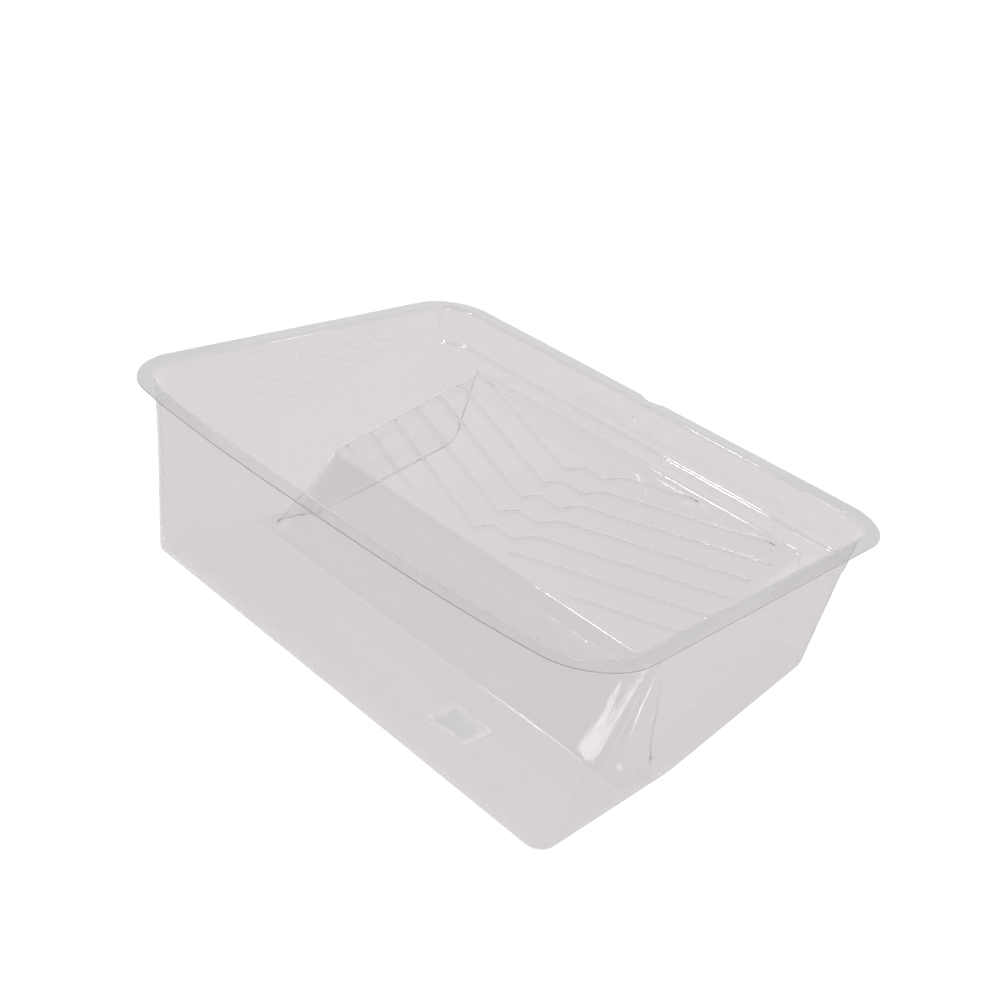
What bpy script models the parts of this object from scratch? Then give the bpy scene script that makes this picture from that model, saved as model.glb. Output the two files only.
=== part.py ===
"""Clear deep-well liner for a paint roller tray, formed from one plastic sheet.

The sheet is drawn into a deep well at the front and a raised, ribbed roll-off
ramp at the back.  Narrow channels run beside the ramp, and a flat flange with
a locating dent goes round the rim.  A small adhesive label lies on the well
floor.

Frame: +X along the well (the roller's axis), +Y from the well towards the top
of the ramp, +Z up.  The origin is the middle of the bounding box's base.
Lengths are metres.  Inside the shape functions y is counted from the front
rim's chord, and the last step moves the whole shape to the origin.
"""

import math

import bmesh
import bpy
from mathutils import Vector

# --- Driving dimensions -----------------------------------------------------
RIM_LENGTH = 0.400          # outer edge to outer edge, along X
RIM_WIDTH = 0.304           # front chord to back edge, along Y
RIM_HEIGHT = 0.138          # underside of the well to underside of the flange
SHEET = 0.0007              # sheet thickness
FLANGE = 0.011              # width of the flat rim
FRONT_BOW = 0.014           # how far the long front wall relaxes outwards
BOW_POWER = 3.0             # how square the bowed wall is

SIDE_DRAFT = math.tan(math.radians(4.8))
FRONT_DRAFT = math.tan(math.radians(5.0))
BACK_DRAFT = math.tan(math.radians(1.2))
CORNER_TOP = 0.026          # corner radius of the wall at the rim
CORNER_BASE = 0.012         # corner radius of the wall at the floor
FLOOR_FILLET = 0.006        # between floor and walls
RIM_FILLET = 0.002          # between walls and flange

KNEE_Y = 0.143              # where the flat well floor starts to rise
KNEE_SOFT = 0.006
CHANNEL_SLOPE = 0.218       # rise of the floor behind the knee

RAMP_HALF = 0.1486          # half the ramp's width
RAMP_EDGE_Y = 0.1464        # lower edge of the ramp
RAMP_EDGE_Z = 0.0604
RAMP_SLOPE = 0.2605
RAMP_FOOT_Y = 0.104         # where the ramp's steep front meets the well floor
RAMP_CORNER = 0.006
RAMP_FLANK = 9.0            # drop for each metre outwards on the ramp's flanks
RAMP_BACK_RADIUS = 0.005    # the ramp's top curves up into the back wall
LEDGE_HEIGHT = 0.110        # shallow step across the back wall
LEDGE_STEP = 0.0025
LEDGE_SOFT = 0.0015
RAMP_EDGE_SOFT = 0.0022
BLEND = 0.004               # how softly the ramp runs into floor and wall

RIB_PITCH = 0.0219
RIB_FIRST_Y = 0.168         # centre bar of the lowest whole rib
RIB_ORDERS = range(-2, 5)   # ribs counted from that one
RIB_BAR = 0.0108            # half the centre bar
RIB_STEP = 0.0057           # length of the sloping step beside the bar
RIB_SLOPE = 0.34
RIB_REACH = 0.1432          # where the arms end
RIB_LOW_Y = 0.157
RIB_HIGH_Y = 0.2835
RIB_HALF = 0.0019
RIB_HEIGHT = 0.0011
FLAT_TOLERANCE = 1e-6       # how near the ramp's plane a point of its panel lies

DENT_HALF = 0.0095          # locating dent in the back rim
DENT_DEPTH = 0.0042
DENT_DROP = 0.020           # how far it runs down the wall

LABEL_SIZE = (0.032, 0.026, 0.0004)
LABEL_AT = (0.0735, 0.068)  # centre, with y from the front chord
LABEL_CORNER = 0.0025
GAP = 0.0003                # kept between separate solids

# --- Derived places ---------------------------------------------------------
SHIFT_Y = -(RIM_WIDTH - FRONT_BOW) / 2
RAMP_FRONT = RAMP_EDGE_Z / (RAMP_EDGE_Y - RAMP_FOOT_Y)
FILLET_TURN = math.radians(85.2)
FILLET_RUN = FLOOR_FILLET * math.tan(FILLET_TURN / 2)

# --- Mesh density -----------------------------------------------------------
CORNER_STEPS = 4
FILLET_STEPS = 3
LOWER_LEVELS = (0.2, 0.45, 0.7, 0.88, 0.985)
UPPER_LEVELS = (0.06, 0.3, 0.55, 0.8, 1.0)
RIM_TURNS = (30, 60, 90)
FLANGE_LEVELS = (0.55, 1.0)
RINGS = (
    [("fillet", k / FILLET_STEPS) for k in range(FILLET_STEPS + 1)]
    + [("lower wall", level) for level in LOWER_LEVELS]
    + [("upper wall", level) for level in UPPER_LEVELS]
    + [("rim", math.radians(turn)) for turn in RIM_TURNS]
    + [("flange", level) for level in FLANGE_LEVELS]
)


def smooth_max(a, b, width):
    """Return the larger of a and b, rounded where they cross."""
    overlap = max(width - abs(a - b), 0.0) / width
    return max(a, b) + overlap * overlap * width / 4


def floor_height(y):
    """Height of the well floor and of the channels behind the knee."""
    past = y - KNEE_Y
    if past <= -KNEE_SOFT:
        return 0.0
    if past >= KNEE_SOFT:
        return CHANNEL_SLOPE * past
    return CHANNEL_SLOPE * (past + KNEE_SOFT) ** 2 / (4 * KNEE_SOFT)


def ramp_plane(y):
    """Height of the ramp's flat top."""
    return RAMP_EDGE_Z + RAMP_SLOPE * (y - RAMP_EDGE_Y)


def back_curve(y):
    """How far the ramp's top has curved up towards the back wall."""
    lean = math.atan(RAMP_SLOPE)
    wall = wall_box(LEDGE_HEIGHT - LEDGE_SOFT)[2]
    centre_y = wall - RAMP_BACK_RADIUS
    start = centre_y + RAMP_BACK_RADIUS * math.sin(lean)
    if y <= start:
        return 0.0
    centre_z = ramp_plane(start) + RAMP_BACK_RADIUS * math.cos(lean)
    along = min(1.0, (y - centre_y) / RAMP_BACK_RADIUS)
    return centre_z - RAMP_BACK_RADIUS * math.sqrt(1 - along * along) - ramp_plane(y)


def ramp_outside(x, y):
    """Distance outside the ramp's top outline, and how steep it falls there."""
    across = abs(x) - (RAMP_HALF - RAMP_CORNER)
    ahead = RAMP_EDGE_Y + RAMP_CORNER - y
    if across > 0 and ahead > 0:
        turn = ahead / math.hypot(across, ahead)
        run = 1 / RAMP_FLANK + (1 / RAMP_FRONT - 1 / RAMP_FLANK) * turn * turn
        return math.hypot(across, ahead) - RAMP_CORNER, 1 / run
    if across > ahead:
        return across - RAMP_CORNER, RAMP_FLANK
    return ahead - RAMP_CORNER, RAMP_FRONT


def ramp_height(x, y):
    """Height of the ramp block, falling away outside its top outline."""
    outside, fall = ramp_outside(x, y)
    top = ramp_plane(max(y, RAMP_EDGE_Y)) + back_curve(y)
    if outside <= -RAMP_EDGE_SOFT:
        return top
    if outside >= RAMP_EDGE_SOFT:
        return top - fall * outside
    return top - fall * (outside + RAMP_EDGE_SOFT) ** 2 / (4 * RAMP_EDGE_SOFT)


def mirrored(values):
    """Lines on both sides of the middle, from a list of positive distances."""
    return [-v for v in sorted(values, reverse=True)] + sorted(values)


def wall_box(height):
    """Half length, front y, back y and corner radius of the wall at a height."""
    down = RIM_HEIGHT - height
    half = RIM_LENGTH / 2 - FLANGE - down * SIDE_DRAFT
    front = FLANGE + down * FRONT_DRAFT
    below = (LEDGE_HEIGHT + LEDGE_SOFT - height) / (2 * LEDGE_SOFT)
    back = RIM_WIDTH - FLANGE - down * BACK_DRAFT
    back -= LEDGE_STEP * max(0.0, min(1.0, below))
    radius = CORNER_TOP + (CORNER_BASE - CORNER_TOP) * down / RIM_HEIGHT
    return half, front, back, radius


# Grid lines: the first and last CORNER_STEPS lines belong to the corners.
BASE_HALF, BASE_FRONT, BASE_BACK, _ = wall_box(0.0)
X_INNER = mirrored(
    [0.004, 0.0095, 0.016, 0.05, 0.1, 0.14, 0.1445]
    + [0.1464, 0.1475, 0.1486, 0.1497, 0.1508, 0.1525, 0.154, 0.1555, 0.157, 0.160]
)
X_LINES = X_INNER[: len(X_INNER) // 2] + [0.0] + X_INNER[len(X_INNER) // 2:]
Y_LINES = (
    [0.05, 0.08, 0.0985, 0.1015, 0.104, 0.1065, 0.1095, 0.117, 0.125, 0.134, 0.1425]
    + [0.1442, 0.1453, 0.1464, 0.1475, 0.1488, 0.152, 0.1565, 0.185, 0.22, 0.25, 0.2715]
)
NX = len(X_LINES) - 1 + 2 * CORNER_STEPS
NY = len(Y_LINES) - 1 + 2 * CORNER_STEPS


def perimeter_place(i, j, half, front, back, radius):
    """Plan position and outward direction of a rim-grid index on a rounded box."""
    columns = (i, NX - i)
    rows = (j, NY - j)
    sign_x = -1 if columns[0] < columns[1] else 1
    sign_y = -1 if rows[0] < rows[1] else 1
    near_x, near_y = min(columns), min(rows)
    corner_y = front + radius if sign_y < 0 else back - radius
    if near_x < CORNER_STEPS and near_y < CORNER_STEPS:
        swing = math.radians(45) * (1 + (near_x - near_y) / CORNER_STEPS)
        out = Vector((sign_x * math.cos(swing), sign_y * math.sin(swing)))
        centre = Vector((sign_x * (half - radius), corner_y))
        return centre + out * radius, out
    if near_y == 0:
        limit = half - radius
        place = X_LINES[i - CORNER_STEPS]
        widest = X_LINES[-1]
        x = place * limit / widest if near_x == CORNER_STEPS else max(-limit, min(limit, place))
        y = front if sign_y < 0 else back
        return Vector((x, y)), Vector((0, sign_y))
    low, high = front + radius, back - radius
    place = Y_LINES[j - CORNER_STEPS]
    share = (place - Y_LINES[0]) / (Y_LINES[-1] - Y_LINES[0])
    return Vector((sign_x * half, low + share * (high - low))), Vector((sign_x, 0))


def relaxed(x, y, height):
    """Bow the front wall outwards and press the locating dent into the back."""
    rise = max(0.0, min(1.0, height / RIM_HEIGHT))
    share = max(0.0, 1 - abs(2 * x / RIM_LENGTH) ** BOW_POWER)
    nearness = max(0.0, 1 - 2 * y / RIM_WIDTH)
    lift = max(0.0, 1 - (RIM_HEIGHT - height) / DENT_DROP)
    if nearness > 0:
        y -= FRONT_BOW * share * rise ** 1.5 * nearness
    elif abs(x) < DENT_HALF and y > RIM_WIDTH - 2 * FLANGE and lift > 0:
        y -= DENT_DEPTH * lift * math.cos(math.pi * x / (2 * DENT_HALF)) ** 1.2
    return x, y


def ring_point(i, j, ring):
    """Point of the sheet's underside on one ring of the wall or flange."""
    kind, share = RINGS[ring]
    place, _ = perimeter_place(i, j, *wall_box(0.0))
    base = floor_height(place.y)
    if kind == "fillet":
        turn = FILLET_TURN * share
        place, out = perimeter_place(i, j, *wall_box(base))
        place = place - out * (FILLET_RUN - FLOOR_FILLET * math.sin(turn))
        height = floor_height(place.y) + FLOOR_FILLET * (1 - math.cos(turn))
    elif kind == "lower wall":
        low = base + FLOOR_FILLET
        height = low + share * (LEDGE_HEIGHT - low)
        place, _ = perimeter_place(i, j, *wall_box(height))
    elif kind == "upper wall":
        height = LEDGE_HEIGHT + share * (RIM_HEIGHT - RIM_FILLET - LEDGE_HEIGHT)
        place, _ = perimeter_place(i, j, *wall_box(height))
    else:
        half, front, back, radius = wall_box(RIM_HEIGHT)
        height = RIM_HEIGHT
        width = RIM_FILLET + (FLANGE - RIM_FILLET) * share
        if kind == "rim":
            height += RIM_FILLET * (math.sin(share) - 1)
            width = RIM_FILLET * (1 - math.cos(share))
        place, _ = perimeter_place(
            i, j, half + width, front - width, back + width, radius + width
        )
    x, y = relaxed(place.x, place.y, height)
    if kind in ("fillet", "lower wall", "upper wall"):
        height = smooth_max(height, ramp_height(x, y), BLEND)
    return Vector((x, y, height))


def floor_point(i, j):
    """Point of the sheet's underside inside the walls."""
    if i in (0, NX) or j in (0, NY):
        return ring_point(i, j, 0)
    left, right = ring_point(0, j, 0), ring_point(NX, j, 0)
    front, back = ring_point(i, 0, 0), ring_point(i, NY, 0)
    inner_x = CORNER_STEPS <= i <= NX - CORNER_STEPS
    inner_y = CORNER_STEPS <= j <= NY - CORNER_STEPS
    x = X_LINES[i - CORNER_STEPS] if inner_x else front.x
    y = Y_LINES[j - CORNER_STEPS] if inner_y else left.y
    x = max(left.x, min(right.x, x))
    y = max(front.y, min(back.y, y))
    return Vector((x, y, smooth_max(floor_height(y), ramp_height(x, y), BLEND)))


def rib_path(order):
    """Stepped chevron of one rib, from its left arm to its right arm."""
    middle = RIB_FIRST_Y + order * RIB_PITCH
    step = RIB_PITCH / 2
    bend = RIB_BAR + RIB_STEP
    rise = RIB_SLOPE * (RIB_REACH - bend)
    return [
        Vector((-RIB_REACH, middle - step + rise)),
        Vector((-bend, middle - step)),
        Vector((-RIB_BAR, middle)),
        Vector((RIB_BAR, middle)),
        Vector((bend, middle + step)),
        Vector((RIB_REACH, middle + step + rise)),
    ]


def clipped(path, low, high):
    """Split a plan path into the stretches whose y lies between two limits."""
    pieces, current = [], []
    for start, end in zip(path, path[1:]):
        shares = [0.0, 1.0]
        for limit in (low, high):
            if (start.y - limit) * (end.y - limit) < 0:
                shares.append((limit - start.y) / (end.y - start.y))
        shares.sort()
        for first, last in zip(shares, shares[1:]):
            a, b = start.lerp(end, first), start.lerp(end, last)
            if low <= a.lerp(b, 0.5).y <= high:
                current = current or [a]
                current.append(b)
            elif current:
                pieces.append(current)
                current = []
    if current:
        pieces.append(current)
    return pieces


def rib_outline(path, half, end_steps=3):
    """Closed outline at a distance from a path, with round ends."""
    def side(points):
        found = []
        for k, point in enumerate(points):
            before = (point - points[k - 1]).normalized() if k else None
            after = (points[k + 1] - point).normalized() if k + 1 < len(points) else None
            along = (before or after) + (after or before)
            along.normalize()
            normal = Vector((along.y, -along.x))
            stretch = 1.0 if before is None or after is None else along.dot(after)
            found.append(point + normal * half / stretch)
        return found

    def cap(tip, inner):
        along = (tip - inner).normalized()
        normal = Vector((along.y, -along.x))
        turns = [math.pi * k / (end_steps + 1) for k in range(1, end_steps + 1)]
        return [tip + (normal * math.cos(t) + along * math.sin(t)) * half for t in turns]

    back = list(reversed(path))
    return side(path) + cap(path[-1], path[-2]) + side(back) + cap(path[0], path[1])


def add_rib(bm, path):
    """Raise one rib out of the ramp's plane and return its base edges."""
    base = [bm.verts.new((p.x, p.y, ramp_plane(p.y))) for p in rib_outline(path, RIB_HALF)]
    edges = [bm.edges.new(pair) for pair in zip(base, base[1:] + base[:1])]
    crown = bmesh.ops.extrude_edge_only(bm, edges=edges)["geom"]
    lifted = [item for item in crown if isinstance(item, bmesh.types.BMVert)]
    top = rib_outline(path, RIB_HALF * 0.45)
    for vert in lifted:
        nearest = min(range(len(base)), key=lambda k: (base[k].co - vert.co).length_squared)
        place = top[nearest]
        vert.co = (place.x, place.y, ramp_plane(place.y) + RIB_HEIGHT)
    ring = [e for e in crown if isinstance(e, bmesh.types.BMEdge)
            and e.verts[0] in lifted and e.verts[1] in lifted]
    bmesh.ops.triangle_fill(bm, edges=ring, use_beauty=True)
    return edges


def add_ribbed_panel(bm, column, row):
    """Swap the ramp's flat cells for one panel with ribs raised out of it."""
    def flat(vert):
        outside, _ = ramp_outside(vert.co.x, vert.co.y)
        off = abs(vert.co.z - ramp_plane(vert.co.y))
        inside = outside < -RAMP_EDGE_SOFT and off < FLAT_TOLERANCE
        return inside and CORNER_STEPS <= vert[column] <= NX - CORNER_STEPS

    cells = [f for f in bm.faces if all(flat(v) for v in f.verts)]
    chosen = set(cells)
    outline = [e for f in cells for e in f.edges
               if sum(1 for g in e.link_faces if g in chosen) == 1]
    bmesh.ops.delete(bm, geom=cells, context="FACES_ONLY")
    inner = [e for e in bm.edges if not e.link_faces and e not in set(outline)]
    bmesh.ops.delete(bm, geom=inner, context="EDGES")
    ribs = []
    for order in RIB_ORDERS:
        for path in clipped(rib_path(order), RIB_LOW_Y, RIB_HIGH_Y):
            ribs += add_rib(bm, path)
    outline = [e for e in outline if e.is_valid]
    bmesh.ops.triangle_fill(bm, edges=outline + ribs, use_beauty=True)


def build_sheet():
    """Mesh of the sheet's underside: floor grid, ribbed panel, walls, flange."""
    bm = bmesh.new()
    bmesh.ops.create_grid(bm, x_segments=NX, y_segments=NY, size=1)
    column = bm.verts.layers.int.new("column")
    row = bm.verts.layers.int.new("row")
    for vert in bm.verts:
        vert[column] = round((vert.co.x + 1) / 2 * NX)
        vert[row] = round((vert.co.y + 1) / 2 * NY)
        vert.co = floor_point(vert[column], vert[row])
    edge = [e for e in bm.edges if e.is_boundary]
    for ring in range(1, len(RINGS)):
        grown = bmesh.ops.extrude_edge_only(bm, edges=edge)["geom"]
        verts = {g for g in grown if isinstance(g, bmesh.types.BMVert)}
        for vert in verts:
            vert.co = ring_point(vert[column], vert[row], ring)
        edge = [g for g in grown if isinstance(g, bmesh.types.BMEdge)
                and g.verts[0] in verts and g.verts[1] in verts]
    add_ribbed_panel(bm, column, row)
    bmesh.ops.recalc_face_normals(bm, faces=bm.faces)
    bm.normal_update()
    if sum(f.normal.z * f.calc_area() for f in bm.faces) > 0:
        bmesh.ops.reverse_faces(bm, faces=bm.faces)
    bmesh.ops.translate(bm, verts=bm.verts, vec=(0, SHIFT_Y, 0))
    return bm


def plastic(name, colour, roughness, alpha):
    """Principled material with a see-through share."""
    material = bpy.data.materials.new(name)
    material.use_nodes = True
    shader = material.node_tree.nodes["Principled BSDF"]
    shader.inputs["Base Color"].default_value = (*colour, 1.0)
    shader.inputs["Roughness"].default_value = roughness
    shader.inputs["Metallic"].default_value = 0.0
    shader.inputs["Alpha"].default_value = alpha
    return material


def add_object(name, bm, material):
    """Turn a bmesh into a named, smooth-shaded object in the scene."""
    mesh = bpy.data.meshes.new(name)
    bm.to_mesh(mesh)
    bm.free()
    mesh.materials.append(material)
    mesh.shade_smooth()
    mesh.set_sharp_from_angle(angle=math.radians(35))
    item = bpy.data.objects.new(name, mesh)
    bpy.context.scene.collection.objects.link(item)
    return item


def add_tray_shell():
    """The liner itself, given the sheet's thickness on its inner side."""
    clear = plastic("clear_sheet", (0.86, 0.85, 0.86), 0.08, 0.35)
    shell = add_object("tray_shell", build_sheet(), clear)
    wall = shell.modifiers.new("sheet thickness", "SOLIDIFY")
    wall.thickness = SHEET
    wall.offset = -1.0
    wall.use_even_offset = False
    wall.use_rim = True
    return shell


def add_floor_label():
    """Thin adhesive label with rounded corners, just above the well floor."""
    bm = bmesh.new()
    bmesh.ops.create_cube(bm, size=1)
    bmesh.ops.scale(bm, verts=bm.verts, vec=LABEL_SIZE)
    upright = [e for e in bm.edges if abs(e.verts[0].co.z - e.verts[1].co.z) > LABEL_SIZE[2] / 2]
    bmesh.ops.bevel(
        bm, geom=upright, offset=LABEL_CORNER, segments=4,
        affect="EDGES", profile=0.5, material=-1,
    )
    label = add_object("floor_label", bm, plastic("label_film", (0.62, 0.62, 0.62), 0.4, 0.6))
    height = SHEET + GAP + LABEL_SIZE[2] / 2
    label.location = (LABEL_AT[0], LABEL_AT[1] + SHIFT_Y, height)
    return label


def main():
    """Clear the scene and build the liner and its label."""
    for item in list(bpy.data.objects):
        bpy.data.objects.remove(item, do_unlink=True)
    add_tray_shell()
    add_floor_label()
    bpy.context.view_layer.update()


main()
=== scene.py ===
"""Looks of a clear deep-well liner for a paint roller tray.

The liner is one thin sheet of clear plastic, vacuum-formed into a deep well with a raised, ribbed roll-off
ramp behind it, channels beside the ramp and a flat flange round the rim. A small adhesive label lies on the
well floor. This script builds the sheet as one finely divided surface with the sheet's real thickness,
gives it the slight twist, ripples and dents of a relaxed thin sheet, and lights it in a plain pale studio.

Frame: +X along the well, +Y towards the top of the ramp, +Z up, metres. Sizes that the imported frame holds
are read from it; the rest are fields of the classes below. Inside the shape classes y is counted from the
front rim's chord, and the last step of the sheet moves it to its place in the frame.
"""

from __future__ import annotations

import logging
import math
from collections.abc import Iterable, Sequence
from dataclasses import dataclass, field
from enum import Enum, IntEnum

import bmesh
import bpy
from mathutils import Matrix, Vector, noise

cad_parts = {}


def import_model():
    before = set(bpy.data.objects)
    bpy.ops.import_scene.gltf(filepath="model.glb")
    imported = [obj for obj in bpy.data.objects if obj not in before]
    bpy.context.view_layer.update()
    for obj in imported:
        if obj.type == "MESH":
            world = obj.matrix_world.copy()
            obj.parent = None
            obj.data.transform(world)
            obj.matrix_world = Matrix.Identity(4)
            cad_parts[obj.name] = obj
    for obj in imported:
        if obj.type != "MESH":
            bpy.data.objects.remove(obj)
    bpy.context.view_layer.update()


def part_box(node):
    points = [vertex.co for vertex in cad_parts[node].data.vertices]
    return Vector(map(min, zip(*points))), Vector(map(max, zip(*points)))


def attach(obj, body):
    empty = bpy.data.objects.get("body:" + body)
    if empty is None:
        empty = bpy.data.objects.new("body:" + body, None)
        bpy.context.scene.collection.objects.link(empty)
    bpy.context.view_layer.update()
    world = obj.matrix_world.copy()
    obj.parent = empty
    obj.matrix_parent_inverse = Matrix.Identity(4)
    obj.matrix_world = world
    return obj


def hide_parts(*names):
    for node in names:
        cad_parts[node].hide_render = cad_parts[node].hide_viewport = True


LOG = logging.getLogger("liner")
BODY = "root"

Colour = tuple[float, float, float]
Span = tuple[float, float]
Stretches = tuple[tuple[float, float], ...]


# --- Shape of the liner -------------------------------------------------------------------------------------


def smooth_max(a: float, b: float, width: float) -> float:
    """Find the larger of two heights, rounded where they cross.

    Args:
        a: One height.
        b: The other height.
        width: Difference within which the crossing is rounded.

    Returns:
        The rounded maximum.
    """
    overlap = max(width - abs(a - b), 0.0) / width
    return max(a, b) + overlap * overlap * width / 4


def smooth_step(value: float) -> float:
    """Ease a share from 0 to 1, flat at both ends."""
    share = max(0.0, min(1.0, value))
    return share * share * (3 - 2 * share)


def graded(start: float, stretches: Iterable[tuple[float, float]]) -> list[float]:
    """Make grid lines whose spacing changes from stretch to stretch.

    Args:
        start: The first line.
        stretches: The end of each stretch, and about how far apart its lines are.

    Returns:
        The lines, rising, with both ends included.
    """
    lines = [start]
    for end, step in stretches:
        first = lines[-1]
        count = max(1, round((end - first) / step))
        lines += [first + (end - first) * (k + 1) / count for k in range(count)]
    return lines


def mirrored(half: Sequence[float]) -> list[float]:
    """Grid lines on both sides of nought, from those on one side."""
    return [-line for line in reversed(half[1:])] + list(half)


def in_order(items: Iterable[bmesh.types.BMVert | bmesh.types.BMEdge | bmesh.types.BMFace]) -> list:
    """Parts of a mesh without repeats, in the order that they come in, so that each run is the same."""
    return list(dict.fromkeys(items))


class Zone(Enum):
    """Stretch of the sheet that a ring of points belongs to, from the floor outwards."""

    FILLET = "fillet"
    LOWER_WALL = "lower wall"
    LEDGE = "ledge"
    UPPER_WALL = "upper wall"
    RIM = "rim"
    FLANGE = "flange"


class Stuff(IntEnum):
    """Material slot of a stretch of the sheet. The rim, steep face and rib slots hold darker copies of the
    sheet, as painted shade.
    """

    SHEET = 0
    CUT_EDGE = 1
    RIM = 2
    STEEP_FACE = 3
    RIBS = 4


@dataclass(frozen=True)
class RoundedBox:
    """Plan outline of the wall at one height: half length, front, back and corner radius."""

    half: float
    front: float
    back: float
    radius: float

    def grown(self, width: float) -> RoundedBox:
        """Outline a width further out all round."""
        return RoundedBox(self.half + width, self.front - width, self.back + width, self.radius + width)


@dataclass(frozen=True)
class Tub:
    """The deep well, its channels and its rim: everything but the ramp.

    Attributes:
        length: Rim's outer length, along X.
        width: Rim's outer width, from the front chord to the back edge.
        height: Underside of the well to the underside of the flange.
        sheet: The sheet's thickness.
        flange: Width of the flat rim.
        side_draft: Lean of the end walls, outwards for each metre up.
        front_draft: Lean of the front wall.
        back_draft: Lean of the back wall.
        corner_top: Corner radius of the wall at the rim.
        corner_base: Corner radius of the wall at the floor.
        fillet: Radius of the bend between floor and wall.
        fillet_turn: How far that bend turns.
        rim_fillet: Radius of the bend between wall and flange.
        knee: Where the flat floor ends and the channels start to rise.
        knee_soft: Half the stretch over which the floor bends there.
        channel_slope: Rise of the channels behind the knee.
        ledge: Height of the shallow step across the back wall.
        ledge_step: How far that step juts in.
        ledge_soft: Half the height over which it does.
    """

    length: float
    width: float
    height: float
    sheet: float = 0.0007
    flange: float = 0.011
    side_draft: float = math.tan(math.radians(4.8))
    front_draft: float = math.tan(math.radians(5.0))
    back_draft: float = math.tan(math.radians(1.2))
    corner_top: float = 0.026
    corner_base: float = 0.012
    fillet: float = 0.006
    fillet_turn: float = math.radians(85.2)
    rim_fillet: float = 0.002
    knee: float = 0.143
    knee_soft: float = 0.006
    channel_slope: float = 0.218
    ledge: float = 0.110
    ledge_step: float = 0.0025
    ledge_soft: float = 0.0015

    def floor_height(self, y: float) -> float:
        """Height of the well floor, and of the channels behind the knee."""
        past = y - self.knee
        if past <= -self.knee_soft:
            return 0.0
        if past >= self.knee_soft:
            return self.channel_slope * past
        return self.channel_slope * (past + self.knee_soft) ** 2 / (4 * self.knee_soft)

    def wall(self, height: float) -> RoundedBox:
        """Outline of the wall at a height.

        Args:
            height: Height above the well floor.

        Returns:
            The wall's plan outline there.
        """
        down = self.height - height
        below = (self.ledge + self.ledge_soft - height) / (2 * self.ledge_soft)
        return RoundedBox(
            half=self.length / 2 - self.flange - down * self.side_draft,
            front=self.flange + down * self.front_draft,
            back=self.width - self.flange - down * self.back_draft - self.ledge_step * smooth_step(below),
            radius=self.corner_top + (self.corner_base - self.corner_top) * down / self.height,
        )


@dataclass(frozen=True)
class Ramp:
    """The raised roll-off ramp, a block that stands up out of the floor and runs into the back wall.

    Attributes:
        half: Half the top's length.
        edge_y: Where the top's front edge lies.
        edge_z: Height of that edge.
        slope: Rise of the top towards the back.
        foot_y: Where the steep front face meets the well floor.
        corner: Corner radius of the top in plan.
        flank_fall: Fall of the flanks for each metre outwards.
        back_y: Where the top ends against the back wall.
        back_radius: Radius of its bend up into that wall.
        edge_radius: Radius of the front edge.
        flank_radius: Radius of the flanks' top edges.
        blend: How softly the block runs into floor and walls.
        least_front: Share of a corner's edge that has to face the front to count as the steep face.
    """

    half: float = 0.1486
    edge_y: float = 0.1464
    edge_z: float = 0.0604
    slope: float = 0.2605
    foot_y: float = 0.107
    corner: float = 0.007
    flank_fall: float = 9.0
    back_y: float = 0.2897
    back_radius: float = 0.006
    edge_radius: float = 0.0022
    flank_radius: float = 0.0045
    blend: float = 0.004
    least_front: float = 0.3

    def plane(self, y: float) -> float:
        """Height of the ramp's flat top."""
        return self.edge_z + self.slope * (y - self.edge_y)

    def back_curve(self, y: float) -> float:
        """How far the top has curved up towards the back wall."""
        lean = math.atan(self.slope)
        centre_y = self.back_y - self.back_radius
        start = centre_y + self.back_radius * math.sin(lean)
        if y <= start:
            return 0.0
        centre_z = self.plane(start) + self.back_radius * math.cos(lean)
        along = min(1.0, (y - centre_y) / self.back_radius)
        return centre_z - self.back_radius * math.sqrt(1 - along * along) - self.plane(y)

    def outside(self, x: float, y: float) -> tuple[float, float]:
        """Measure how far a plan point lies outside the ramp's top.

        Args:
            x: Place along the well.
            y: Place across the well.

        Returns:
            The distance, negative inside, and the nearest edge's share of the front one, from 0 to 1.
        """
        across = abs(x) - (self.half - self.corner)
        ahead = self.edge_y + self.corner - y
        if across > 0 and ahead > 0:
            away = math.hypot(across, ahead)
            return away - self.corner, (ahead / away) ** 2
        if across > ahead:
            return across - self.corner, 0.0
        return ahead - self.corner, 1.0

    def drop(self, x: float, y: float) -> float:
        """Find how far the block has fallen below the plane of its top, over a rounded edge.

        Round a corner the flank's fall turns into the front face's, by their reciprocals, so that the
        foot line stays smooth.

        Args:
            x: Place along the well.
            y: Place across the well.

        Returns:
            The fall, nought on the flat top.
        """
        outside, front_share = self.outside(x, y)
        front_fall = self.edge_z / (self.edge_y - self.foot_y) - self.slope
        fall = 1 / (1 / self.flank_fall + (1 / front_fall - 1 / self.flank_fall) * front_share)
        radius = self.flank_radius + (self.edge_radius - self.flank_radius) * front_share
        turn = math.atan(fall)
        reach = radius * math.tan(turn / 2)
        if outside <= -reach:
            return 0.0
        if outside >= radius * math.sin(turn) - reach:
            return fall * outside
        return radius - math.sqrt(radius ** 2 - (outside + reach) ** 2)

    def height(self, x: float, y: float) -> float:
        """Height of the block, falling away outside its top."""
        return self.plane(y) + self.back_curve(y) - self.drop(x, y)


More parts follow.
